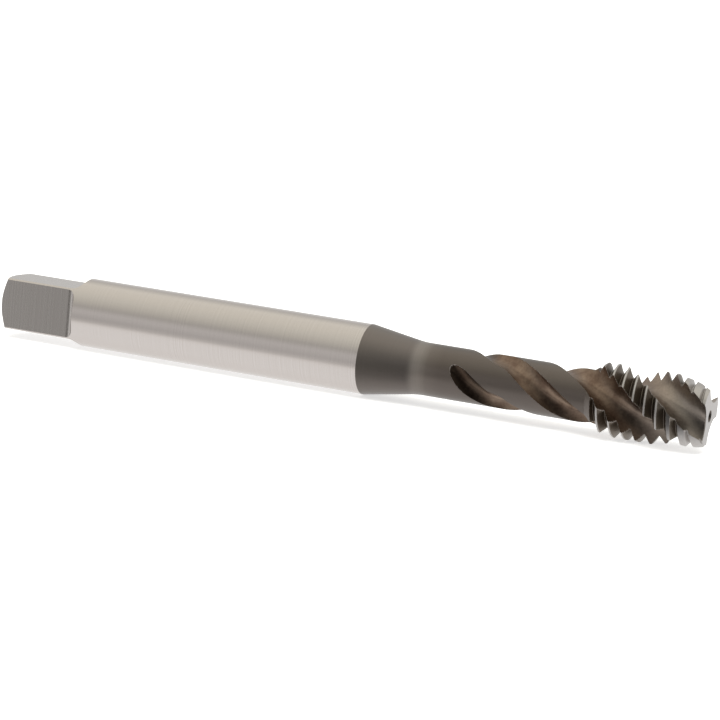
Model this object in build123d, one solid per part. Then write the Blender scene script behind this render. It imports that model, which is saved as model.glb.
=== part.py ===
# Spiral-flute machine tap for 3/8-16 threads, in millimetres.
#
# A hardened steel cutting tool in one piece. From the back (-X) to the front (+X) it has a
# driving square, a ground shank, a cone down to a thinner neck, and a threaded cutting head
# with a chamfered nose. Three right-hand helical flutes run from the nose into the neck.
#
# The tool lies on the plane Z = 0 with its axis along +X. The origin is under the middle of its
# length. The flats of the square face +-Y and +-Z.

from build123d import *
from math import cos, radians, sin, tan
import os

# ---------------------------------------------------------------- driving dimensions
# Shank
overall_length = 102.4
shank_diameter = 9.68
shank_length = 54.8             # square end face to the start of the cone

# Driving square
square_across_top = 7.2         # over the flats that face +-Z
square_across_sides = 6.9       # over the flats that face +-Y
square_length_top = 12.2        # end face to the shoulder, on the flats that face +-Z
square_length_sides = 11.85     # the same, on the flats that face +-Y
shoulder_radius = 1.5           # hollow corner between a flat and the shoulder
end_face_diameter = 7.0
end_chamfer_length = 0.67

# Cone and neck
neck_diameter = 7.16
cone_length = 7.65
cone_blend_radius = 12.0        # hollow blend where the cone meets the neck

# Thread
thread_diameter = 9.72
thread_pitch = 1.5875
thread_angle = 60.0             # between the flanks
thread_length = 14.2            # nose to the end of the full-diameter land
thread_back_slope = 37.0        # slope of the land's end, down to the neck
crest_width = thread_pitch / 8
root_width = 0.05
groove_offset = 1.64            # nose to the middle of the first groove, on the lowest line

# Chamfer, ground off centre so that it falls away behind each cutting edge
nose_diameter = 7.654
chamfer_slope = 0.23            # radius gained per millimetre behind the nose
chamfer_relief = 0.315          # how far off the tool's axis each land's chamfer is centred
relief_phase = 16.5             # where a land's chamfer begins, from the lowest line

# Flutes
flute_count = 3
flute_lead = 31.0               # length of one full turn
flute_radius = 3.3              # of the round hollow, in a section square to the axis
core_diameter = 3.74            # left between the flutes at the nose
core_growth = 0.029             # radius gained per millimetre behind the nose
flute_phase = 280.66            # of the first flute at the nose, from the lowest line
flute_depth_length = 32.3       # nose to where the grinding wheel starts to come out
exit_curve_radius = 4.5         # of the flute's floor where it comes out
jog_start = 27.0                # nose to where the flute turns straighter
jog_end = 29.7
jog_turn = 13.0                 # degrees that the flute loses there

# Centre hole in the nose
centre_hole_diameter = 1.0
centre_hole_depth = 2.5
centre_hole_mouth = 1.56        # diameter of its 60 degree mouth at the nose face

# ---------------------------------------------------------------- sizes that follow
shank_radius = shank_diameter / 2
neck_radius = neck_diameter / 2
thread_radius = thread_diameter / 2
nose_radius = nose_diameter / 2

# The tool is built standing up on the Z axis, with its middle at the origin.
back = -overall_length / 2
nose = overall_length / 2
flank_slope = tan(radians(thread_angle / 2))
thread_depth = (thread_pitch - crest_width - root_width) / (2 * flank_slope)
land_end = nose - thread_length
neck_end = land_end - (thread_radius - neck_radius) / tan(radians(thread_back_slope))
clear = thread_pitch            # how far cutters stand out past the steel


def turned_blank():
    """The turned bar: end chamfer, shank, cone, neck and thread land."""
    cone_start = back + shank_length
    cone_end = cone_start + cone_length
    outline = [
        (0, back),
        (end_face_diameter / 2, back),
        (shank_radius, back + end_chamfer_length),
        (shank_radius, cone_start),
        (neck_radius, cone_end),
        (neck_radius, neck_end),
        (thread_radius, land_end),
        (thread_radius, nose),
        (0, nose),
    ]
    section = make_face(Polyline(*outline, close=True))
    corner = section.vertices().sort_by_distance((neck_radius, cone_end, 0))[0]
    section = fillet(corner, cone_blend_radius)
    return revolve(Plane.XZ * section, Axis.Z)


def square_cutters():
    """Four blocks that leave the flats, each with a hollow corner at the shoulder."""
    outer = shank_radius + clear
    pairs = [(square_across_top, square_length_top), (square_across_sides, square_length_sides)]
    blocks = []
    for i in range(4):
        across, length = pairs[i % 2]
        flat = across / 2
        shoulder = back + length
        side = Rectangle(outer - flat, length + clear, align=(Align.MIN, Align.MAX))
        side = Pos(flat, shoulder) * side
        corner = side.vertices().sort_by_distance((flat, shoulder, 0))[0]
        side = fillet(corner, shoulder_radius)
        blocks.append(Rot(0, 0, 90 * i) * extrude(Plane.XZ * side, outer, both=True))
    return blocks


def chamfer_cutters():
    """What the chamfer takes off each land: outside a cone whose axis is beside the tool's."""
    length = 1.5 * (thread_radius - nose_radius + chamfer_relief) / chamfer_slope
    section = make_face(Polyline(
        (nose_radius - chamfer_slope, nose + 1),
        (nose_radius + chamfer_slope * length, nose - length),
        (thread_radius + 3, nose - length),
        (thread_radius + 3, nose + 1),
        close=True,
    ))
    share = 360 / flute_count
    cutters = []
    for i in range(flute_count):
        first = relief_phase + share * i
        beside = radians(first + share / 2 + 90)
        ring = Rot(0, 0, first) * revolve(Plane.XZ * section, Axis.Z, share)
        cutters.append(Pos(chamfer_relief * cos(beside), chamfer_relief * sin(beside), 0) * ring)
    return cutters


def core_radius(distance):
    """Radius of the core at a distance behind the nose."""
    lift = max(0, distance - flute_depth_length)
    return core_diameter / 2 + core_growth * distance + lift**2 / (2 * exit_curve_radius)


def flute_turn(distance):
    """Degrees that a flute has turned at a distance behind the nose."""
    share = min(1, max(0, (distance - jog_start) / (jog_end - jog_start)))
    return jog_turn * share**2 * (3 - 2 * share) - 360 * distance / flute_lead


def flute_cutter(phase):
    """The twisted round bar that one flute takes out, rising clear of the neck at its back."""
    step = flute_lead / 45
    points = []
    distance = -2 * step
    while core_radius(distance) < neck_radius + clear / 5:
        centre = core_radius(distance) + flute_radius
        turn = radians(phase + flute_turn(distance))
        points.append(Vector(centre * cos(turn), centre * sin(turn), nose - distance))
        distance += step
    section = Pos(points[0]) * Circle(flute_radius)
    return sweep(section, path=Spline(*points), normal=(0, 0, 1))


def thread_grooves():
    """The helical V groove between the thread's crests: one swept cutter for each turn."""
    root_radius = thread_radius - thread_depth
    outer_radius = thread_radius + 0.45 * crest_width / flank_slope
    outer_half = thread_pitch / 2 - 0.05 * crest_width
    section = make_face(Polyline(
        (root_radius, -root_width / 2),
        (outer_radius, -outer_half),
        (outer_radius, outer_half),
        (root_radius, root_width / 2),
        close=True,
    ))
    turns = int((nose - neck_end) / thread_pitch) + 3
    cutters = []
    for i in range(turns):
        place = Pos(0, 0, nose - groove_offset + (2 - turns + i) * thread_pitch)
        path = place * Helix(thread_pitch, thread_pitch, thread_radius)
        cutters.append(sweep(place * (Plane.XZ * section), path=path, is_frenet=True))
    return cutters


def centre_hole():
    """The hole that the bar was ground on, with its tapered mouth."""
    hole_radius = centre_hole_diameter / 2
    mouth_depth = (centre_hole_mouth / 2 - hole_radius) / tan(radians(30))
    section = make_face(Polyline(
        (0, nose - centre_hole_depth),
        (hole_radius, nose - centre_hole_depth),
        (hole_radius, nose - mouth_depth),
        (centre_hole_mouth / 2, nose),
        (centre_hole_mouth / 2, nose + 1),
        (0, nose + 1),
        close=True,
    ))
    return revolve(Plane.XZ * section, Axis.Z)


# ---------------------------------------------------------------- the tool
tap = turned_blank()
tap -= square_cutters()
tap -= centre_hole()
for ring in chamfer_cutters():
    tap -= ring
for groove in thread_grooves():
    tap -= groove
for i in range(flute_count):
    tap -= flute_cutter(flute_phase + 360 * i / flute_count)

# Lay the tool down: its axis along +X, its lowest line on the plane Z = 0.
axis_height = max(shank_radius, thread_radius)
tap = Pos(0, 0, axis_height) * Rot(0, 90, 0) * tap

os.makedirs("parts", exist_ok=True)
export_step(tap, "parts/tap.step")
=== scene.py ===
import math

import bpy
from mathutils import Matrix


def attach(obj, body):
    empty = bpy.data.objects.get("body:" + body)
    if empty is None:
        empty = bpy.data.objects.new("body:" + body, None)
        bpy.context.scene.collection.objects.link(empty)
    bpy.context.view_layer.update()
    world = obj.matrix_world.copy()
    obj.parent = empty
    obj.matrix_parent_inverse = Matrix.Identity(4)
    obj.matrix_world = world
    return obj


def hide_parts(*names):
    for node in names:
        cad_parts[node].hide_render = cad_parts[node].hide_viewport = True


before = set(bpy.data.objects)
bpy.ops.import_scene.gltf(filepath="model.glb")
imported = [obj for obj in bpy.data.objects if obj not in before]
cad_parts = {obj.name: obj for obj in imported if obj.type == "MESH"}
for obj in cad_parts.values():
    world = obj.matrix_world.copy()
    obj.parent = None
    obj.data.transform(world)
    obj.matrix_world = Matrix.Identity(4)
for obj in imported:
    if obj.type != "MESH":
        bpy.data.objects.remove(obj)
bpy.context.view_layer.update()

scene = bpy.context.scene

# ---------------------------------------------------------------- Camera
# A long lens, a little above the tool and in front of it, turned so that the nose comes
# nearer than the driving square.
camera_data = bpy.data.cameras.new("camera")
camera_data.sensor_width = 36.0
camera_data.lens = 129.2
camera_data.clip_start = 0.02
camera = bpy.data.objects.new("camera", camera_data)
camera.location = (0.12463, -0.32325, 0.06448)
camera.rotation_euler = (math.radians(80.115), math.radians(-5.734), math.radians(21.717))
scene.collection.objects.link(camera)
scene.camera = camera
scene.view_settings.view_transform = "Standard"


# ---------------------------------------------------------------- Studio
# A white table under a broad soft light. The walls of the room are greyer than the table,
# in bands that run along the tool, which gives round steel its darker bands.
def linear(code):
    """An sRGB hex colour as linear RGBA."""
    channels = [int(code[i:i + 2], 16) / 255 for i in (1, 3, 5)]
    return [c / 12.92 if c <= 0.04045 else ((c + 0.055) / 1.055) ** 2.4 for c in channels] + [1.0]


def add(tree, kind, inputs=None, **settings):
    """Adds a node with its settings. An input takes a value, a socket, or a node's first output."""
    node = tree.nodes.new(kind)
    for name, value in settings.items():
        setattr(node, name, value)
    for key, value in (inputs or {}).items():
        sockets = [s for s in node.inputs if s.enabled]
        socket = sockets[key] if isinstance(key, int) else next(s for s in sockets if s.name == key)
        if isinstance(value, bpy.types.Node):
            value = next(s for s in value.outputs if s.enabled)
        if isinstance(value, bpy.types.NodeSocket):
            tree.links.new(value, socket)
        else:
            socket.default_value = value
    return node


world = bpy.data.worlds.new("studio")
world.use_nodes = True
scene.world = world
room = world.node_tree
room.nodes.clear()
direction = add(room, "ShaderNodeTexCoord").outputs["Generated"]
parts = add(room, "ShaderNodeSeparateXYZ", {0: direction})
towards = add(room, "ShaderNodeMath", {0: parts.outputs["Y"], 1: -1.0}, operation="MULTIPLY")
around = add(room, "ShaderNodeMath", {0: parts.outputs["Z"], 1: towards}, operation="ARCTAN2")
share = add(room, "ShaderNodeMapRange", {"Value": around, "From Min": -math.pi, "From Max": math.pi})
bands = add(room, "ShaderNodeValToRGB", {0: share})
# Angle round the tool's axis in degrees: 0 is level towards the camera, 90 is up.
room_bands = [
    (-180, "#ffffff"), (-150, "#fbfbfa"), (-115, "#faf9f8"), (-75, "#ffffff"), (-40, "#ffffff"),
    (-30, "#fbfaf9"), (-21, "#dad9d7"), (-10, "#cbcac9"), (3, "#d2d1d0"), (12, "#d4d3d2"), (27, "#c1c0bc"),
    (45, "#d6d5cd"), (62, "#e4e3da"), (85, "#efede3"), (118, "#f5f3ea"), (138, "#d8d7d2"),
    (150, "#d0cfcc"), (164, "#e2e2e1"),
]
while len(bands.color_ramp.elements) < len(room_bands):
    bands.color_ramp.elements.new(0.5)
for element, (angle, code) in zip(bands.color_ramp.elements, room_bands):
    element.position = angle / 360 + 0.5
    element.color = linear(code)
# The unlit side of the room is a soft dark oval, low in front of the tool and towards its
# nose, which darkens one side of each flute. It fades out towards the driving square.
oval_middle = (0.274, -0.938, -0.21)
oval_long_axis = (0.838, 0.125, 0.532)
oval_short_axis = (-0.472, -0.322, 0.821)
oval_half_length = 1.131
oval_half_width = 0.708
oval_core = 0.438
oval_rim = 1.562
oval_darkness = 0.926
fade_end = -0.28
fade_start = -0.026
length_scaled = [part / oval_half_length for part in oval_long_axis]
width_scaled = [part / oval_half_width for part in oval_short_axis]
lengthways = add(room, "ShaderNodeVectorMath", {0: direction, 1: length_scaled}, operation="DOT_PRODUCT")
sideways = add(room, "ShaderNodeVectorMath", {0: direction, 1: width_scaled}, operation="DOT_PRODUCT")
facing = add(room, "ShaderNodeVectorMath", {0: direction, 1: oval_middle}, operation="DOT_PRODUCT")
reach = add(room, "ShaderNodeCombineXYZ", {
    "X": lengthways.outputs["Value"], "Y": sideways.outputs["Value"],
})
reach = add(room, "ShaderNodeVectorMath", {0: reach}, operation="LENGTH")
dark = add(room, "ShaderNodeMapRange", {
    "Value": reach.outputs["Value"], "From Min": oval_core, "From Max": oval_rim,
    "To Min": oval_darkness, "To Max": 0.0,
}, interpolation_type="SMOOTHSTEP")
in_front = add(room, "ShaderNodeMath", {0: facing.outputs["Value"], 1: 0.0}, operation="GREATER_THAN")
dark = add(room, "ShaderNodeMath", {0: dark, 1: in_front}, operation="MULTIPLY")
noseward = add(room, "ShaderNodeMapRange", {
    "Value": parts.outputs["X"], "From Min": fade_end, "From Max": fade_start,
}, interpolation_type="SMOOTHSTEP")
dark = add(room, "ShaderNodeMath", {0: dark, 1: noseward}, operation="MULTIPLY")
walls = add(room, "ShaderNodeMix", {"Factor": dark, "A": bands, "B": linear("#000000")}, data_type="RGBA")
# A grey patch past the driving square is what its near flat reflects.
patch_middle = (-0.76, -0.63, -0.16)
patch_core = math.radians(8)
patch_rim = math.radians(22)
patch = add(room, "ShaderNodeVectorMath", {0: direction, 1: patch_middle}, operation="DOT_PRODUCT")
patch = add(room, "ShaderNodeMapRange", {
    "Value": patch.outputs["Value"], "From Min": math.cos(patch_rim), "From Max": math.cos(patch_core),
}, interpolation_type="SMOOTHSTEP")
walls = add(room, "ShaderNodeMix", {
    "Factor": patch, "A": walls.outputs[2], "B": linear("#7a7977"),
}, data_type="RGBA")
# The camera itself sees a white room.
seen = add(room, "ShaderNodeLightPath")
shown = add(room, "ShaderNodeMix", {
    "Factor": seen.outputs["Is Camera Ray"], "A": walls.outputs[2], "B": linear("#ffffff"),
}, data_type="RGBA")
glow = add(room, "ShaderNodeBackground", {"Color": shown.outputs[2], "Strength": 1.0})
add(room, "ShaderNodeOutputWorld", {"Surface": glow})

# The softbox lights the table and the skins, and isn't seen in the steel.
softbox_data = bpy.data.lights.new("softbox", "AREA")
softbox_data.shape = "RECTANGLE"
softbox_data.size = 0.7
softbox_data.size_y = 0.4
softbox_data.energy = 2.5
softbox = bpy.data.objects.new("softbox", softbox_data)
softbox.location = (0.05, -0.15, 0.6)
softbox.rotation_euler = (math.radians(-14), math.radians(5), 0)
softbox.visible_glossy = False
scene.collection.objects.link(softbox)

# Uncoated white paper: matt, and lifted a little to the camera so that it runs into the
# white room.
table_half = 8.0
table_lift = 0.6
table_paper = bpy.data.materials.new("white table paper")
table_paper.use_nodes = True
paper = table_paper.node_tree
paper.nodes.clear()
sheet = add(paper, "ShaderNodeBsdfDiffuse", {"Color": linear("#f4f4f4")})
ray = add(paper, "ShaderNodeLightPath")
lift = add(paper, "ShaderNodeMath", {0: ray.outputs["Is Camera Ray"], 1: table_lift}, operation="MULTIPLY")
lift = add(paper, "ShaderNodeEmission", {"Color": linear("#ffffff"), "Strength": lift})
both = add(paper, "ShaderNodeAddShader", {0: sheet, 1: lift})
add(paper, "ShaderNodeOutputMaterial", {"Surface": both})
table_mesh = bpy.data.meshes.new("table")
corners = [(x * table_half, y * table_half, 0) for x, y in ((-1, -1), (1, -1), (1, 1), (-1, 1))]
table_mesh.from_pydata(corners, [], [(0, 1, 2, 3)])
table_mesh.materials.append(table_paper)
table = bpy.data.objects.new("table", table_mesh)
table.visible_glossy = False
scene.collection.objects.link(table)

# ---------------------------------------------------------------- Shank and driving square
# One end of a bar of hardened high-speed steel: turned, hardened, then ground round
# between centres. The four flats of the driving square are ground across it last.
MM = 0.001
axis_height = 4.86 * MM
back = -51.2 * MM
cone_start = 3.6 * MM
shank_radius = 4.84 * MM
end_face_radius = 3.5 * MM
end_chamfer = 0.67 * MM
flats = 4
top_flat = 3.6 * MM
side_flat = 3.45 * MM
square_length_top = 12.2 * MM
square_length_sides = 11.85 * MM
shoulder_radius = 1.5 * MM
# The wheel that grinds a flat: its width, its length along the bar and its reach to each side.
wheel_width = 6.0 * MM
wheel_length = 20 * MM
wheel_reach = 8 * MM
# How finely curves are stepped, how near points are to be joined, and how far an edge may
# turn and still look smooth.
steps_round = 288
corner_steps = 12
weld_distance = 1e-7
soft_angle = math.radians(8)

# High-speed steel ground between centres: bright warm grey, with fine lines that run round
# the bar and draw reflections out along it. The lines are some 0.01 mm apart and are drawn
# at 0.2 mm, so that they show.
line_spacing = 0.2 * MM
ground_steel = bpy.data.materials.new("ground high-speed steel")
# The flats are ground across the bar with a coarser wheel, so they are a little duller.
ground_flats = bpy.data.materials.new("surface-ground high-speed steel")
for material, dark, light, low, high in (
    (ground_steel, "#c7c0bb", "#d8d1cd", 0.12, 0.2), (ground_flats, "#a7a19d", "#d8d3cf", 0.2, 0.32),
):
    material.use_nodes = True
    steel = material.node_tree
    shader = steel.nodes["Principled BSDF"]
    shader.inputs["Metallic"].default_value = 1.0
    shader.inputs["Anisotropic"].default_value = 0.6
    shader.inputs["Anisotropic Rotation"].default_value = 0.25
    place = add(steel, "ShaderNodeTexCoord")
    place = add(steel, "ShaderNodeSeparateXYZ", {0: place.outputs["Object"]})
    lines = add(steel, "ShaderNodeTexNoise", {
        "W": place.outputs["X"], "Scale": 1 / line_spacing, "Detail": 3.0, "Roughness": 0.7,
    }, noise_dimensions="1D")
    colour = add(steel, "ShaderNodeMix", {
        "Factor": lines, "A": linear(dark), "B": linear(light),
    }, data_type="RGBA")
    steel.links.new(colour.outputs[2], shader.inputs["Base Color"])
    rough = add(steel, "ShaderNodeMapRange", {"Value": lines, "To Min": low, "To Max": high})
    steel.links.new(rough.outputs[0], shader.inputs["Roughness"])
    around = add(steel, "ShaderNodeTangent", direction_type="RADIAL", axis="X")
    steel.links.new(around.outputs[0], shader.inputs["Tangent"])


def new_tree(name, sizes=(), counts=(), finishes=()):
    """A tree of nodes from an outline to a mesh, with an input for each size, count and finish."""
    tree = bpy.data.node_groups.new(name, "GeometryNodeTree")
    inputs = [("Outline", "Geometry")] + [(title, "Float") for title in sizes]
    inputs += [(title, "Int") for title in counts] + [(title, "Material") for title in finishes]
    for title, kind in inputs:
        tree.interface.new_socket(title, in_out="INPUT", socket_type="NodeSocket" + kind)
    tree.interface.new_socket("Mesh", in_out="OUTPUT", socket_type="NodeSocketGeometry")
    return tree


# A lathe: each point of an outline is turned once round the axis, as a closed skin.
turning = new_tree("turned from its outline", counts=["Steps Round"])
given = add(turning, "NodeGroupInput")
points = add(turning, "GeometryNodeAttributeDomainSize", {0: given.outputs["Outline"]}, component="MESH")
rows = add(turning, "ShaderNodeMath", {0: given.outputs["Steps Round"], 1: 1.0}, operation="ADD")
grid = add(turning, "GeometryNodeMeshGrid", {
    "Vertices X": points.outputs["Point Count"], "Vertices Y": rows,
})
number = add(turning, "GeometryNodeInputIndex")
station = add(turning, "ShaderNodeMath", {0: number, 1: rows}, operation="DIVIDE")
station = add(turning, "ShaderNodeMath", {0: station}, operation="FLOOR")
step = add(turning, "ShaderNodeMath", {0: number, 1: rows}, operation="MODULO")
place = add(turning, "GeometryNodeInputPosition")
point = add(turning, "GeometryNodeSampleIndex", {
    "Geometry": given.outputs["Outline"], "Value": place, "Index": station,
}, data_type="FLOAT_VECTOR", domain="POINT")
turn = add(turning, "ShaderNodeMath", {0: step, 1: 2 * math.pi}, operation="MULTIPLY")
turn = add(turning, "ShaderNodeMath", {0: turn, 1: given.outputs["Steps Round"]}, operation="DIVIDE")
spun = add(turning, "ShaderNodeVectorRotate", {"Vector": point, "Angle": turn}, rotation_type="Z_AXIS")
shaped = add(turning, "GeometryNodeSetPosition", {"Geometry": grid.outputs["Mesh"], "Position": spun})
closed = add(turning, "GeometryNodeMergeByDistance", {"Geometry": shaped, "Distance": weld_distance})
outward = add(turning, "GeometryNodeFlipFaces", {"Mesh": closed})
add(turning, "NodeGroupOutput", {0: outward})

squaring = new_tree(
    "shank with its square",
    sizes=[
        "Top Flat", "Side Flat", "Top Shoulder", "Side Shoulder", "Shoulder Radius", "Wheel Width",
        "Axis Height",
    ],
    counts=["Flats"], finishes=["Round Steel", "Flat Steel"],
)
size = add(squaring, "NodeGroupInput").outputs
bar = add(squaring, "GeometryNodeGroup", {
    "Outline": size["Outline"], "Steps Round": steps_round,
}, node_tree=turning)
bar = add(squaring, "GeometryNodeSetMaterial", {"Geometry": bar, "Material": size["Round Steel"]})
# The grinding wheel's section runs off the end of the bar, and its inner front corner is round.
section = add(squaring, "GeometryNodeCurvePrimitiveQuadrilateral", {
    "Width": size["Wheel Width"], "Height": wheel_length,
}, mode="RECTANGLE")
corner = add(squaring, "GeometryNodeInputPosition")
corner = add(squaring, "ShaderNodeSeparateXYZ", {0: corner})
inner = add(squaring, "ShaderNodeMath", {0: corner.outputs["X"], 1: 0.0}, operation="LESS_THAN")
front = add(squaring, "ShaderNodeMath", {0: corner.outputs["Y"], 1: 0.0}, operation="GREATER_THAN")
chosen = add(squaring, "ShaderNodeMath", {0: inner, 1: front}, operation="MULTIPLY")
radius = add(squaring, "ShaderNodeMath", {0: chosen, 1: size["Shoulder Radius"]}, operation="MULTIPLY")
section = add(squaring, "GeometryNodeFilletCurve", {"Curve": section, "Radius": radius}, mode="POLY")
section.inputs["Count"].default_value = corner_steps
half = add(squaring, "ShaderNodeMath", {0: size["Wheel Width"], 1: 0.5}, operation="MULTIPLY")
outwards = add(squaring, "ShaderNodeMath", {0: size["Top Flat"], 1: half}, operation="ADD")
forwards = add(squaring, "ShaderNodeMath", {
    0: size["Top Shoulder"], 1: wheel_length / 2,
}, operation="SUBTRACT")
offset = add(squaring, "ShaderNodeCombineXYZ", {"X": outwards, "Y": forwards})
section = add(squaring, "GeometryNodeTransform", {"Geometry": section, "Translation": offset})
rail = add(squaring, "GeometryNodeCurvePrimitiveLine", {
    "Start": (0, 0, -wheel_reach), "End": (0, 0, wheel_reach),
})
wheel = add(squaring, "GeometryNodeCurveToMesh", {
    "Curve": rail, "Profile Curve": section, "Fill Caps": True,
})
wheel = add(squaring, "GeometryNodeTransform", {"Geometry": wheel, "Rotation": (math.pi / 2, 0, 0)})
wheel = add(squaring, "GeometryNodeSetMaterial", {"Geometry": wheel, "Material": size["Flat Steel"]})
wheel = add(squaring, "GeometryNodeGeometryToInstance", {0: wheel})
wheels = add(squaring, "GeometryNodeDuplicateElements", {
    "Geometry": wheel, "Amount": size["Flats"],
}, domain="INSTANCE")
turn = add(squaring, "ShaderNodeMath", {
    0: wheels.outputs["Duplicate Index"], 1: 2 * math.pi,
}, operation="MULTIPLY")
turn = add(squaring, "ShaderNodeMath", {0: turn, 1: size["Flats"]}, operation="DIVIDE")
turn = add(squaring, "ShaderNodeCombineXYZ", {"Z": turn})
# The wheels for the side flats, which are every other one, stand nearer to the axis and to the end.
side = add(squaring, "ShaderNodeMath", {0: wheels.outputs["Duplicate Index"], 1: 2.0}, operation="MODULO")
inwards = add(squaring, "ShaderNodeMath", {0: size["Side Flat"], 1: size["Top Flat"]}, operation="SUBTRACT")
inwards = add(squaring, "ShaderNodeMath", {0: inwards, 1: side}, operation="MULTIPLY")
backwards = add(squaring, "ShaderNodeMath", {
    0: size["Side Shoulder"], 1: size["Top Shoulder"],
}, operation="SUBTRACT")
backwards = add(squaring, "ShaderNodeMath", {0: backwards, 1: side}, operation="MULTIPLY")
nearer = add(squaring, "ShaderNodeCombineXYZ", {"X": inwards, "Z": backwards})
wheels = add(squaring, "GeometryNodeTranslateInstances", {
    "Instances": wheels, "Translation": nearer, "Local Space": False,
})
wheels = add(squaring, "GeometryNodeRotateInstances", {
    "Instances": wheels, "Rotation": turn, "Local Space": False,
})
wheels = add(squaring, "GeometryNodeRealizeInstances", {"Geometry": wheels})
squared = add(squaring, "GeometryNodeMeshBoolean", {
    "Mesh 1": bar, "Mesh 2": wheels,
}, operation="DIFFERENCE", solver="MANIFOLD")
edge = add(squaring, "GeometryNodeInputMeshEdgeAngle")
gentle = add(squaring, "ShaderNodeMath", {
    0: edge.outputs["Unsigned Angle"], 1: soft_angle,
}, operation="LESS_THAN")
squared = add(squaring, "GeometryNodeSetShadeSmooth", {
    "Geometry": squared, "Shade Smooth": gentle,
}, domain="EDGE")
middle = add(squaring, "ShaderNodeCombineXYZ", {"Z": size["Axis Height"]})
squared = add(squaring, "GeometryNodeTransform", {
    "Geometry": squared, "Translation": middle, "Rotation": (0, math.pi / 2, 0),
})
squared = add(squaring, "GeometryNodeRealizeInstances", {"Geometry": squared})
flat = add(squaring, "GeometryNodeMaterialSelection", {"Material": size["Flat Steel"]})
squared = add(squaring, "GeometryNodeSetMaterial", {
    "Geometry": squared, "Selection": flat, "Material": size["Flat Steel"],
})
add(squaring, "NodeGroupOutput", {0: squared})


def make_piece(name, outline, tree, sizes):
    """A plain mesh from a tree of nodes that works on an outline of (radius, height) points."""
    mesh = bpy.data.meshes.new(name)
    mesh.from_pydata([(r, 0, z) for r, z in outline], [(i, i + 1) for i in range(len(outline) - 1)], [])
    piece = bpy.data.objects.new(name, mesh)
    scene.collection.objects.link(piece)
    modifier = piece.modifiers.new("shape", "NODES")
    modifier.node_group = tree
    for item in tree.interface.items_tree:
        if item.in_out == "INPUT" and item.name in sizes:
            modifier[item.identifier] = sizes[item.name]
    made = bpy.data.meshes.new_from_object(piece.evaluated_get(bpy.context.evaluated_depsgraph_get()))
    piece.modifiers.clear()
    # The boolean leaves an empty first slot, and clearing the slots clears the faces' numbers.
    used = [material for material in made.materials if material]
    numbers = [used.index(made.materials[face.material_index]) for face in made.polygons]
    made.materials.clear()
    for material in used:
        made.materials.append(material)
    made.polygons.foreach_set("material_index", numbers)
    piece.data = made
    made.name = name
    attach(piece, "root")
    return piece


make_piece("shank", [
    (0, back), (end_face_radius, back), (shank_radius, back + end_chamfer), (shank_radius, cone_start),
    (0, cone_start),
], squaring, {
    "Top Flat": top_flat, "Side Flat": side_flat, "Top Shoulder": back + square_length_top,
    "Side Shoulder": back + square_length_sides, "Shoulder Radius": shoulder_radius,
    "Wheel Width": wheel_width, "Flats": flats, "Axis Height": axis_height,
    "Round Steel": ground_steel, "Flat Steel": ground_flats,
})

# ---------------------------------------------------------------- Cone, neck and cutting head
# The other end of the same bar: turned down by a cone to the neck, then the thread and
# the three right-hand flutes are ground in. The skin is steam oxide, and the crests, the
# chamfer and the nose are ground bright again through it.
neck_radius = 3.58 * MM
cone_end = 11.25 * MM
blend_radius = 12.0 * MM
blend_steps = 10
neck_end = 35.3 * MM
nose = 51.2 * MM
nose_radius = 3.827 * MM
# The chamfer widens by its slope behind the nose, and falls away behind each cutting edge.
chamfer_slope = 0.23
chamfer_relief = 0.315 * MM
relief_phase = math.radians(16.5)
chamfer_rows = 28
chamfer_rows_length = 7 * MM
bare_groove_length = 3.2 * MM
# A 60 degree thread of 16 turns to the inch.
thread_start = 37.0 * MM
thread_radius = 4.86 * MM
thread_depth = 1.16 * MM
pitch = 1.5875 * MM
crest_width = pitch / 8
root_width = 0.05 * MM
first_groove = 1.64 * MM
thread_turns = 12
turns_past_first_groove = 2
steps_per_turn = 144
flank_cuts = 7
# The groove's cutter stands proud of the crests, and is wider there to match.
groove_proud = 0.04 * MM
groove_widening = 0.046 * MM
# Places along the flutes are measured back from the nose.
flutes = 3
flute_lead = 31.0 * MM
flute_radius = 3.3 * MM
flute_phase = math.radians(280.66)
core_radius = 1.87 * MM
core_growth = 0.029
jog_start = 27.0 * MM
jog_end = 29.7 * MM
jog_turn = math.radians(13)
exit_start = 32.3 * MM
exit_radius = 4.5 * MM
cutter_length = 40 * MM
cutter_past_nose = 1.5 * MM
cutter_sides = 180
cutter_rings = 220
# The centre hole in the nose, and its mouth.
hole_radius = 0.5 * MM
hole_depth = 2.5 * MM
hole_past_nose = 1 * MM
hole_sides = 64
mouth_radius = 0.78 * MM
mouth_half_angle = math.radians(30)
mouth_past_nose = 0.5 * MM
mouth_behind_nose = 1.5 * MM
mouth_tip = 0.01 * MM

# Steam oxide on turned steel: a thin skin of magnetite, so it shines as a dark mineral
# does, warm grey face on and pale along its edges. Turning marks of 0.1 mm ring the bar,
# drawn at 0.3 mm. The skin is palest where the cone blends into the neck, and browner in
# front of that.
turning_mark = 0.3 * MM
oxide_turned = bpy.data.materials.new("steam-oxide skin on turned steel")
oxide_turned.use_nodes = True
skin = oxide_turned.node_tree
shader = skin.nodes["Principled BSDF"]
shader.inputs["IOR"].default_value = 2.25
shader.inputs["Specular Tint"].default_value = linear("#f6e6dc")
place = add(skin, "ShaderNodeTexCoord")
place = add(skin, "ShaderNodeSeparateXYZ", {0: place.outputs["Object"]})
rings = add(skin, "ShaderNodeTexNoise", {
    "W": place.outputs["X"], "Scale": 1 / turning_mark, "Detail": 2.0,
}, noise_dimensions="1D")
zones = add(skin, "ShaderNodeMapRange", {
    "Value": place.outputs["X"], "From Min": cone_start, "From Max": neck_end,
})
zones = add(skin, "ShaderNodeValToRGB", {0: zones})
skin_zones = [
    (cone_start, "#484541"), (10.4 * MM, "#454240"), (11.2 * MM, "#63605c"), (12.0 * MM, "#5f5c57"),
    (13.2 * MM, "#3a3631"), (15.0 * MM, "#241f18"),
]
while len(zones.color_ramp.elements) < len(skin_zones):
    zones.color_ramp.elements.new(0.5)
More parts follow.
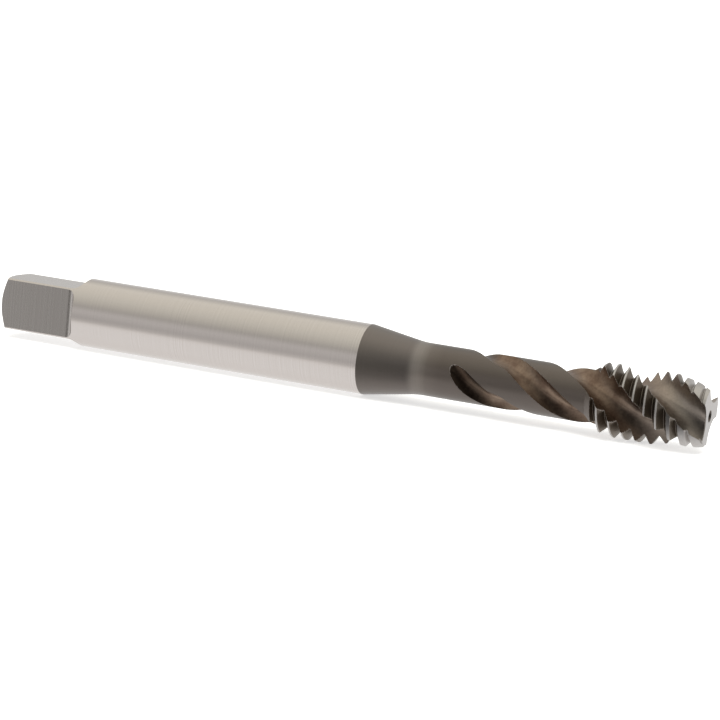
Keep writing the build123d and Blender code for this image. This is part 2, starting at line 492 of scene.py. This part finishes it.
for element, (along, code) in zip(zones.color_ramp.elements, skin_zones):
    element.position = (along - cone_start) / (neck_end - cone_start)
    element.color = linear(code)
shade = add(skin, "ShaderNodeMapRange", {
    "Value": rings, "From Min": 0.3, "From Max": 0.7, "To Min": 0.96, "To Max": 1.04,
})
colour = add(skin, "ShaderNodeVectorMath", {0: zones, "Scale": shade}, operation="SCALE")
skin.links.new(colour.outputs["Vector"], shader.inputs["Base Color"])
rough = add(skin, "ShaderNodeMapRange", {"Value": rings, "To Min": 0.27, "To Max": 0.31})
skin.links.new(rough.outputs[0], shader.inputs["Roughness"])

# The same skin where a grinding wheel ran down the flutes. On the smooth cut it is thin and
# the steel shines through it, bronze-brown with greyer patches, crossed by chatter marks.
patch_size = 2.4 * MM
chatter_mark = 0.3 * MM
grey_from = nose - 12 * MM
grey_full = nose - 3 * MM
# Painted shade darkens the flutes where they run out of the bar, between these places.
run_out_shade_full = 20.3 * MM
run_out_shade_clear = 22.3 * MM
# The painted shade on one side of each flute fades in over this angle.
side_shade_blend = math.radians(3)
oxide_flute = bpy.data.materials.new("steam-oxide skin in the flutes")
# On the thread's flanks the skin is more even and greyer.
oxide_thread = bpy.data.materials.new("steam-oxide skin on the thread")
for material, dark, light, grey in (
    (oxide_flute, "#756153", "#9b8776", "#a69f98"), (oxide_thread, "#70655b", "#847a6f", "#91897f"),
):
    material.use_nodes = True
    skin = material.node_tree
    shader = skin.nodes["Principled BSDF"]
    place = add(skin, "ShaderNodeTexCoord").outputs["Object"]
    along = add(skin, "ShaderNodeSeparateXYZ", {0: place}).outputs["X"]
    patches = add(skin, "ShaderNodeTexNoise", {
        "Vector": place, "Scale": 1 / patch_size, "Detail": 3.0, "Roughness": 0.55,
    })
    marks = add(skin, "ShaderNodeTexNoise", {"Vector": place, "Scale": 1 / chatter_mark, "Detail": 2.0})
    blotch = add(skin, "ShaderNodeMapRange", {"Value": patches, "From Min": 0.35, "From Max": 0.65})
    colour = add(skin, "ShaderNodeMix", {
        "Factor": blotch, "A": linear(dark), "B": linear(light),
    }, data_type="RGBA")
    # It turns greyer towards the nose.
    greyer = add(skin, "ShaderNodeMapRange", {
        "Value": along, "From Min": grey_from, "From Max": grey_full, "To Max": 0.75,
    })
    colour = add(skin, "ShaderNodeMix", {
        "Factor": greyer, "A": colour.outputs[2], "B": linear(grey),
    }, data_type="RGBA")
    shade = add(skin, "ShaderNodeMapRange", {
        "Value": marks, "From Min": 0.3, "From Max": 0.7, "To Min": 0.9, "To Max": 1.07,
    })
    colour = add(skin, "ShaderNodeVectorMath", {0: colour.outputs[2], "Scale": shade}, operation="SCALE")
    # Painted shade: it is darker where a flute runs out of the bar.
    run_out_shade = add(skin, "ShaderNodeMapRange", {
        "Value": along, "From Min": run_out_shade_full, "From Max": run_out_shade_clear, "To Min": 0.38, "To Max": 1.0,
    })
    colour = add(skin, "ShaderNodeVectorMath", {
        0: colour.outputs["Vector"], "Scale": run_out_shade,
    }, operation="SCALE")
    # Painted shade: the two sides of a flute meet on its floor, and one side is painted darker, as if in
    # shadow, the other a little lighter.
    across = add(skin, "ShaderNodeAttribute", attribute_name="across").outputs["Fac"]
    painted_side_shade = add(skin, "ShaderNodeMapRange", {
        "Value": across, "From Min": -side_shade_blend, "From Max": side_shade_blend, "To Min": 0.8, "To Max": 1.05,
    })
    colour = add(skin, "ShaderNodeVectorMath", {
        0: colour.outputs["Vector"], "Scale": painted_side_shade,
    }, operation="SCALE")
    # Painted highlight: the arrises are painted pale and less metallic, bright lines that stand in for the
    # light a rounded edge would catch.
    painted_edge_highlight = add(skin, "ShaderNodeAttribute", attribute_name="painted_edge_highlight").outputs["Fac"]
    colour = add(skin, "ShaderNodeMix", {
        "Factor": painted_edge_highlight, "A": colour.outputs["Vector"], "B": linear("#b9b2ad"),
    }, data_type="RGBA")
    skin.links.new(colour.outputs[2], shader.inputs["Base Color"])
    metal = add(skin, "ShaderNodeMath", {0: painted_edge_highlight, 1: -0.6, 2: 1.0}, operation="MULTIPLY_ADD")
    skin.links.new(metal.outputs[0], shader.inputs["Metallic"])
    rough = add(skin, "ShaderNodeMapRange", {"Value": marks, "To Min": 0.3, "To Max": 0.5})
    skin.links.new(rough.outputs[0], shader.inputs["Roughness"])
# Two passes of the wheel leave a low ridge where they meet on the flute's floor.
ridge_height = 0.06 * MM
ridge_half_width = math.radians(9)
skin = oxide_flute.node_tree
across = add(skin, "ShaderNodeAttribute", attribute_name="across").outputs["Fac"]
beside = add(skin, "ShaderNodeMath", {0: across}, operation="ABSOLUTE")
beside = add(skin, "ShaderNodeMath", {0: beside, 1: -1 / ridge_half_width}, operation="MULTIPLY")
ridge = add(skin, "ShaderNodeMath", {0: beside}, operation="EXPONENT")
ridge = add(skin, "ShaderNodeBump", {"Height": ridge, "Distance": ridge_height})
skin.links.new(ridge.outputs[0], skin.nodes["Principled BSDF"].inputs["Normal"])

# Crests, chamfer and nose are ground last, through the skin: bright, faintly pink steel
# with a fine grain, some 0.02 mm and drawn at 0.25 mm.
grain_size = 0.25 * MM
fresh_ground = bpy.data.materials.new("freshly ground high-speed steel")
fresh_ground.use_nodes = True
bright = fresh_ground.node_tree
shader = bright.nodes["Principled BSDF"]
shader.inputs["Metallic"].default_value = 1.0
place = add(bright, "ShaderNodeTexCoord").outputs["Object"]
grain = add(bright, "ShaderNodeTexNoise", {"Vector": place, "Scale": 1 / grain_size, "Detail": 3.0})
colour = add(bright, "ShaderNodeMix", {
    "Factor": grain, "A": linear("#b2aeab"), "B": linear("#cfcbc8"),
}, data_type="RGBA")
bright.links.new(colour.outputs[2], shader.inputs["Base Color"])
rough = add(bright, "ShaderNodeMapRange", {"Value": grain, "To Min": 0.3, "To Max": 0.42})
bright.links.new(rough.outputs[0], shader.inputs["Roughness"])

fluting = new_tree(
    "fluted and threaded head",
    sizes=[
        "Nose", "Nose Radius", "Chamfer Slope", "Chamfer Relief", "Relief Phase", "Bare Length",
        "Bare Groove", "Thread Radius", "Thread Depth", "Pitch", "Crest Width", "Root Width",
        "First Groove", "Flute Lead", "Flute Radius", "Flute Phase", "Core Radius", "Core Growth",
        "Jog Start", "Jog End", "Jog Turn", "Exit Start", "Exit Radius", "Hole Radius", "Hole Depth",
        "Mouth Radius", "Axis Height",
    ],
    counts=["Turns", "Flutes"], finishes=["Turned Skin", "Thread Skin", "Flute Skin", "Bare Steel"],
)
size = add(fluting, "NodeGroupInput").outputs

# The turned blank, with a chamfer that falls away behind each cutting edge, ground off centre.
blank = add(fluting, "GeometryNodeGroup", {
    "Outline": size["Outline"], "Steps Round": steps_round,
}, node_tree=turning)
blank = add(fluting, "GeometryNodeSetMaterial", {"Geometry": blank, "Material": size["Turned Skin"]})
where = add(fluting, "GeometryNodeInputPosition")
place = add(fluting, "ShaderNodeSeparateXYZ", {0: where})
behind = add(fluting, "ShaderNodeMath", {0: size["Nose"], 1: place.outputs["Z"]}, operation="SUBTRACT")
around = add(fluting, "ShaderNodeMath", {0: place.outputs["Y"], 1: place.outputs["X"]}, operation="ARCTAN2")
around = add(fluting, "ShaderNodeMath", {0: around, 1: size["Relief Phase"]}, operation="SUBTRACT")
sector = add(fluting, "ShaderNodeMath", {0: 2 * math.pi, 1: size["Flutes"]}, operation="DIVIDE")
around = add(fluting, "ShaderNodeMath", {0: around, 1: sector}, operation="FLOORED_MODULO")
around = add(fluting, "ShaderNodeMath", {0: sector, 1: -0.5, 2: around}, operation="MULTIPLY_ADD")
rise = add(fluting, "ShaderNodeMath", {0: around}, operation="SINE")
chamfer = add(fluting, "ShaderNodeMath", {
    0: rise, 1: size["Chamfer Relief"], 2: size["Nose Radius"],
}, operation="MULTIPLY_ADD")
chamfer = add(fluting, "ShaderNodeMath", {
    0: behind, 1: size["Chamfer Slope"], 2: chamfer,
}, operation="MULTIPLY_ADD")
sideways = add(fluting, "ShaderNodeVectorMath", {0: where, 1: (1, 1, 0)}, operation="MULTIPLY")
sideways = add(fluting, "ShaderNodeVectorMath", {0: sideways}, operation="LENGTH")
shrink = add(fluting, "ShaderNodeMath", {0: chamfer, 1: sideways.outputs["Value"]}, operation="DIVIDE")
shrink = add(fluting, "ShaderNodeMath", {0: shrink, 1: 1.0}, operation="MINIMUM")
shrink = add(fluting, "ShaderNodeCombineXYZ", {"X": shrink, "Y": shrink, "Z": 1.0})
shrunk = add(fluting, "ShaderNodeVectorMath", {0: where, 1: shrink}, operation="MULTIPLY")
# The points on the axis stay where they are.
off_axis = add(fluting, "ShaderNodeMath", {
    0: sideways.outputs["Value"], 1: 0.1 * MM,
}, operation="GREATER_THAN")
blank = add(fluting, "GeometryNodeSetPosition", {
    "Geometry": blank, "Selection": off_axis, "Position": shrunk,
})
bare = add(fluting, "ShaderNodeMath", {0: behind, 1: size["Bare Length"]}, operation="LESS_THAN")
blank = add(fluting, "GeometryNodeSetMaterial", {
    "Geometry": blank, "Selection": bare, "Material": size["Bare Steel"],
})

# One flute's cutter: a round bar whose sections follow a helix. It jogs straighter near its
# end, then leaves the axis where the wheel came out.
bar = add(fluting, "GeometryNodeMeshCylinder", {
    "Vertices": cutter_sides, "Side Segments": cutter_rings, "Radius": size["Flute Radius"],
    "Depth": cutter_length,
}, fill_type="NGON")
centre = add(fluting, "ShaderNodeMath", {
    0: size["Nose"], 1: cutter_past_nose - cutter_length / 2,
}, operation="ADD")
centre = add(fluting, "ShaderNodeCombineXYZ", {"Z": centre})
bar = add(fluting, "GeometryNodeTransform", {"Geometry": bar.outputs["Mesh"], "Translation": centre})
lift = add(fluting, "ShaderNodeMath", {0: behind, 1: size["Exit Start"]}, operation="SUBTRACT")
lift = add(fluting, "ShaderNodeMath", {0: lift, 1: 0.0}, operation="MAXIMUM")
lift = add(fluting, "ShaderNodeMath", {0: lift, 1: 2.0}, operation="POWER")
lift = add(fluting, "ShaderNodeMath", {0: lift, 1: size["Exit Radius"]}, operation="DIVIDE")
core = add(fluting, "ShaderNodeMath", {
    0: behind, 1: size["Core Growth"], 2: size["Core Radius"],
}, operation="MULTIPLY_ADD")
core = add(fluting, "ShaderNodeMath", {0: lift, 1: 0.5, 2: core}, operation="MULTIPLY_ADD")
reach = add(fluting, "ShaderNodeMath", {0: core, 1: size["Flute Radius"]}, operation="ADD")
turn = add(fluting, "ShaderNodeMath", {0: behind, 1: size["Flute Lead"]}, operation="DIVIDE")
turn = add(fluting, "ShaderNodeMath", {
    0: turn, 1: -2 * math.pi, 2: size["Flute Phase"],
}, operation="MULTIPLY_ADD")
jog = add(fluting, "ShaderNodeMapRange", {
    "Value": behind, "From Min": size["Jog Start"], "From Max": size["Jog End"],
}, interpolation_type="SMOOTHSTEP")
turn = add(fluting, "ShaderNodeMath", {0: jog, 1: size["Jog Turn"], 2: turn}, operation="MULTIPLY_ADD")
# Each point keeps its angle across the flute, which is 0 on the floor.
across = add(fluting, "ShaderNodeMath", {0: place.outputs["Y"], 1: place.outputs["X"]}, operation="ARCTAN2")
across = add(fluting, "ShaderNodeMath", {0: across, 1: turn}, operation="SUBTRACT")
across = add(fluting, "ShaderNodeMath", {0: across, 1: 2 * math.pi}, operation="FLOORED_MODULO")
across = add(fluting, "ShaderNodeMath", {0: across, 1: math.pi}, operation="SUBTRACT")
bar = add(fluting, "GeometryNodeStoreNamedAttribute", {
    "Geometry": bar, "Name": "across", "Value": across,
}, data_type="FLOAT", domain="POINT")
away = add(fluting, "ShaderNodeCombineXYZ", {"X": reach})
away = add(fluting, "ShaderNodeVectorRotate", {"Vector": away, "Angle": turn}, rotation_type="Z_AXIS")
bar = add(fluting, "GeometryNodeSetPosition", {"Geometry": bar, "Offset": away})
bar = add(fluting, "GeometryNodeSetMaterial", {"Geometry": bar, "Material": size["Flute Skin"]})
bar = add(fluting, "GeometryNodeGeometryToInstance", {0: bar})
bars = add(fluting, "GeometryNodeDuplicateElements", {
    "Geometry": bar, "Amount": size["Flutes"],
}, domain="INSTANCE")
turn = add(fluting, "ShaderNodeMath", {
    0: bars.outputs["Duplicate Index"], 1: 2 * math.pi,
}, operation="MULTIPLY")
turn = add(fluting, "ShaderNodeMath", {0: turn, 1: size["Flutes"]}, operation="DIVIDE")
turn = add(fluting, "ShaderNodeCombineXYZ", {"Z": turn})
bars = add(fluting, "GeometryNodeRotateInstances", {
    "Instances": bars, "Rotation": turn, "Local Space": False,
})
bars = add(fluting, "GeometryNodeRealizeInstances", {"Geometry": bars})

# The thread's groove: a trapezium carried along a helix of one pitch a turn, which runs on
# past the first groove and out of the nose.
mean = add(fluting, "ShaderNodeMath", {
    0: size["Thread Depth"], 1: -0.5, 2: size["Thread Radius"],
}, operation="MULTIPLY_ADD")
mean = add(fluting, "ShaderNodeMath", {0: mean, 1: groove_proud / 2}, operation="ADD")
rise = add(fluting, "ShaderNodeMath", {0: size["Pitch"], 1: size["Turns"]}, operation="MULTIPLY")
helix = add(fluting, "GeometryNodeCurveSpiral", {
    "Resolution": steps_per_turn, "Rotations": size["Turns"], "Start Radius": mean, "End Radius": mean,
    "Height": rise, "Reverse": True,
})
helix = add(fluting, "GeometryNodeSetCurveNormal", {"Curve": helix}, mode="Z_UP")
deep = add(fluting, "ShaderNodeMath", {0: size["Thread Depth"], 1: groove_proud}, operation="ADD")
wide = add(fluting, "ShaderNodeMath", {0: size["Pitch"], 1: size["Crest Width"]}, operation="SUBTRACT")
wide = add(fluting, "ShaderNodeMath", {0: wide, 1: groove_widening}, operation="ADD")
section = add(fluting, "GeometryNodeCurvePrimitiveQuadrilateral", {
    "Height": deep, "Bottom Width": wide, "Top Width": size["Root Width"], "Offset": 0.0,
}, mode="TRAPEZOID")
section = add(fluting, "GeometryNodeTransform", {"Geometry": section, "Rotation": (0, 0, math.pi / 2)})
section = add(fluting, "GeometryNodeSubdivideCurve", {"Curve": section, "Cuts": flank_cuts})
groove = add(fluting, "GeometryNodeCurveToMesh", {
    "Curve": helix, "Profile Curve": section, "Fill Caps": True,
})
groove = add(fluting, "GeometryNodeSetMaterial", {"Geometry": groove, "Material": size["Thread Skin"]})
start = add(fluting, "ShaderNodeMath", {0: size["Nose"], 1: size["First Groove"]}, operation="SUBTRACT")
start = add(fluting, "ShaderNodeMath", {0: start, 1: rise}, operation="SUBTRACT")
start = add(fluting, "ShaderNodeMath", {
    0: size["Pitch"], 1: turns_past_first_groove, 2: start,
}, operation="MULTIPLY_ADD")
start = add(fluting, "ShaderNodeCombineXYZ", {"Z": start})
groove = add(fluting, "GeometryNodeTransform", {"Geometry": groove, "Translation": start})

# The centre hole that the bar was ground on, with its 60 degree mouth.
bottom = add(fluting, "ShaderNodeMath", {0: size["Nose"], 1: size["Hole Depth"]}, operation="SUBTRACT")
bottom = add(fluting, "ShaderNodeCombineXYZ", {"Z": bottom})
long = add(fluting, "ShaderNodeMath", {0: size["Hole Depth"], 1: hole_past_nose}, operation="ADD")
hole = add(fluting, "GeometryNodeMeshCone", {
    "Vertices": hole_sides, "Radius Top": size["Hole Radius"], "Radius Bottom": size["Hole Radius"],
    "Depth": long,
}, fill_type="NGON")
hole = add(fluting, "GeometryNodeTransform", {"Geometry": hole.outputs["Mesh"], "Translation": bottom})
widest = add(fluting, "ShaderNodeMath", {
    0: size["Mouth Radius"], 1: mouth_past_nose * math.tan(mouth_half_angle),
}, operation="ADD")
narrowest = add(fluting, "ShaderNodeMath", {
    0: size["Mouth Radius"], 1: -mouth_behind_nose * math.tan(mouth_half_angle),
}, operation="ADD")
narrowest = add(fluting, "ShaderNodeMath", {0: narrowest, 1: mouth_tip}, operation="MAXIMUM")
mouth = add(fluting, "GeometryNodeMeshCone", {
    "Vertices": hole_sides, "Radius Top": widest, "Radius Bottom": narrowest,
    "Depth": mouth_past_nose + mouth_behind_nose,
}, fill_type="NGON")
foot = add(fluting, "ShaderNodeMath", {0: size["Nose"], 1: mouth_behind_nose}, operation="SUBTRACT")
foot = add(fluting, "ShaderNodeCombineXYZ", {"Z": foot})
mouth = add(fluting, "GeometryNodeTransform", {"Geometry": mouth.outputs["Mesh"], "Translation": foot})
hole = add(fluting, "GeometryNodeSetMaterial", {"Geometry": hole, "Material": size["Turned Skin"]})
mouth = add(fluting, "GeometryNodeSetMaterial", {"Geometry": mouth, "Material": size["Turned Skin"]})

cut = blank
for cutter in (groove, bars, hole, mouth):
    cut = add(fluting, "GeometryNodeMeshBoolean", {
        "Mesh 1": cut, "Mesh 2": cutter,
    }, operation="DIFFERENCE", solver="MANIFOLD")
edge = add(fluting, "GeometryNodeInputMeshEdgeAngle")
gentle = add(fluting, "ShaderNodeMath", {
    0: edge.outputs["Unsigned Angle"], 1: soft_angle,
}, operation="LESS_THAN")
cut = add(fluting, "GeometryNodeSetShadeSmooth", {"Geometry": cut, "Shade Smooth": gentle}, domain="EDGE")
# The grooves that the chamfer's grinding ran into are bare as well.
touched = add(fluting, "GeometryNodeMaterialSelection", {"Material": size["Thread Skin"]})
front = add(fluting, "ShaderNodeMath", {0: behind, 1: size["Bare Groove"]}, operation="LESS_THAN")
touched = add(fluting, "ShaderNodeMath", {0: touched, 1: front}, operation="MULTIPLY")
cut = add(fluting, "GeometryNodeSetMaterial", {
    "Geometry": cut, "Selection": touched, "Material": size["Bare Steel"],
})
# Points on the sharp arrises are marked, for the painted highlight along them.
keen_angle = math.radians(22)
keen = add(fluting, "ShaderNodeMath", {
    0: edge.outputs["Signed Angle"], 1: keen_angle,
}, operation="GREATER_THAN")
keen = add(fluting, "GeometryNodeFieldOnDomain", {0: keen}, domain="EDGE", data_type="BOOLEAN")
cut = add(fluting, "GeometryNodeStoreNamedAttribute", {
    "Geometry": cut, "Name": "painted_edge_highlight", "Value": keen,
}, data_type="FLOAT", domain="POINT")
middle = add(fluting, "ShaderNodeCombineXYZ", {"Z": size["Axis Height"]})
cut = add(fluting, "GeometryNodeTransform", {
    "Geometry": cut, "Translation": middle, "Rotation": (0, math.pi / 2, 0),
})
cut = add(fluting, "GeometryNodeRealizeInstances", {"Geometry": cut})
fluted = add(fluting, "GeometryNodeMaterialSelection", {"Material": size["Flute Skin"]})
cut = add(fluting, "GeometryNodeSetMaterial", {
    "Geometry": cut, "Selection": fluted, "Material": size["Flute Skin"],
})
add(fluting, "NodeGroupOutput", {0: cut})

# The hollow blend between cone and neck is an arc that touches both.
slope = math.atan((shank_radius - neck_radius) / (cone_end - cone_start))
blend_end = cone_end + blend_radius * math.tan(slope / 2)
bends = [slope * i / blend_steps for i in range(blend_steps, -1, -1)]
blend = [
    (neck_radius + blend_radius * (1 - math.cos(bend)), blend_end - blend_radius * math.sin(bend))
    for bend in bends
]
# Rows of points along the end of the blank, for the chamfer to draw in.
rows = [
    (thread_radius, nose - chamfer_rows_length + chamfer_rows_length * i / chamfer_rows)
    for i in range(chamfer_rows + 1)
]
head = make_piece("cutting_head", [
    (0, cone_start), (shank_radius, cone_start), *blend, (neck_radius, neck_end),
    (thread_radius, thread_start), *rows, (0, nose),
], fluting, {
    "Nose": nose, "Nose Radius": nose_radius, "Chamfer Slope": chamfer_slope,
    "Chamfer Relief": chamfer_relief, "Relief Phase": relief_phase, "Bare Length": nose - thread_start,
    "Bare Groove": bare_groove_length, "Thread Radius": thread_radius, "Thread Depth": thread_depth,
    "Pitch": pitch, "Crest Width": crest_width, "Root Width": root_width, "First Groove": first_groove,
    "Turns": thread_turns, "Flutes": flutes, "Flute Lead": flute_lead, "Flute Radius": flute_radius,
    "Flute Phase": flute_phase, "Core Radius": core_radius, "Core Growth": core_growth,
    "Jog Start": jog_start, "Jog End": jog_end, "Jog Turn": jog_turn, "Exit Start": exit_start,
    "Exit Radius": exit_radius, "Hole Radius": hole_radius, "Hole Depth": hole_depth,
    "Mouth Radius": mouth_radius, "Axis Height": axis_height, "Turned Skin": oxide_turned,
    "Thread Skin": oxide_thread, "Flute Skin": oxide_flute, "Bare Steel": fresh_ground,
})
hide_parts("tap")
